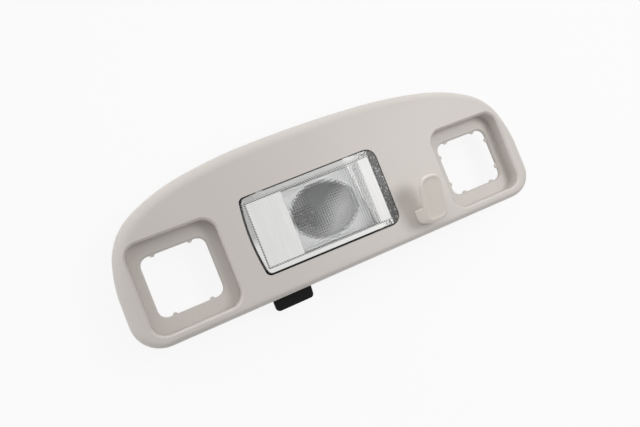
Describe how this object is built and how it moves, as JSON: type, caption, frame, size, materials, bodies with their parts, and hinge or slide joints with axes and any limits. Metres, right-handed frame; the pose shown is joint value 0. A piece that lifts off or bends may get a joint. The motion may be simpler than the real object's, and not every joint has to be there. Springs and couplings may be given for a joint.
{
  "type": "car dome light",
  "caption": "D shaped overhead car lamp panel with a swing-open prism lens, two recessed square lamp seats, a coat hook and a rear lamp body with bulb, connector and locating tongue.",
  "frame": {"origin": "on the plane of the rim's back, where the panel lies on the headliner, midway between the two lamp openings", "axes": "+X along the panel towards the coat hook, +Y towards the curved edge, +Z out of the face into the cabin"},
  "size_m": [0.284, 0.1059, 0.0524],
  "materials": {
    "panel_grey": "fine satin grain",
    "lens_clear": "clear, polished, prisms inside",
    "body_black": "satin black",
    "tray_white": "white gloss",
    "bowl_bright": "bright reflector",
    "bulb_glass": "clear",
    "wire": "plain wire",
    "holder_cream": "satin",
    "contact_brass": "stamped strip",
    "screw_steel": "zinc plated",
    "spring_steel": "spring strip",
    "hook_ivory": "warm ivory satin",
    "plate_steel": "plated sheet"
  },
  "bodies": {
    "housing": {"panel": "panel_grey", "lamp_body": "body_black", "reflector_tray": "tray_white", "reflector_bowl": "bowl_bright", "bulb_glass": "bulb_glass", "bulb_filament": "wire", "bulb_leads": "wire", "bulb_holder": "holder_cream", "feed_contact": "contact_brass", "earth_contact": "contact_brass", "contact_eyelets": "contact_brass", "lamp_screws": "screw_steel", "tray_screws": "screw_steel", "bowl_rings": "spring_steel", "lens_latch": "spring_steel", "coat_hook": "hook_ivory", "hook_plate": "plate_steel", "hook_screws": "screw_steel", "roof_clips": "spring_steel"},
    "lens": {"lens": "lens_clear"}
  },
  "joints": [
    {"name": "lens_hinge", "type": "hinge", "parent": "housing", "child": "lens", "pos_m": [-0.0517, 0.0065, 0.009], "axis": [0, -1, 0], "range_deg": [0, 40]}
  ]
}
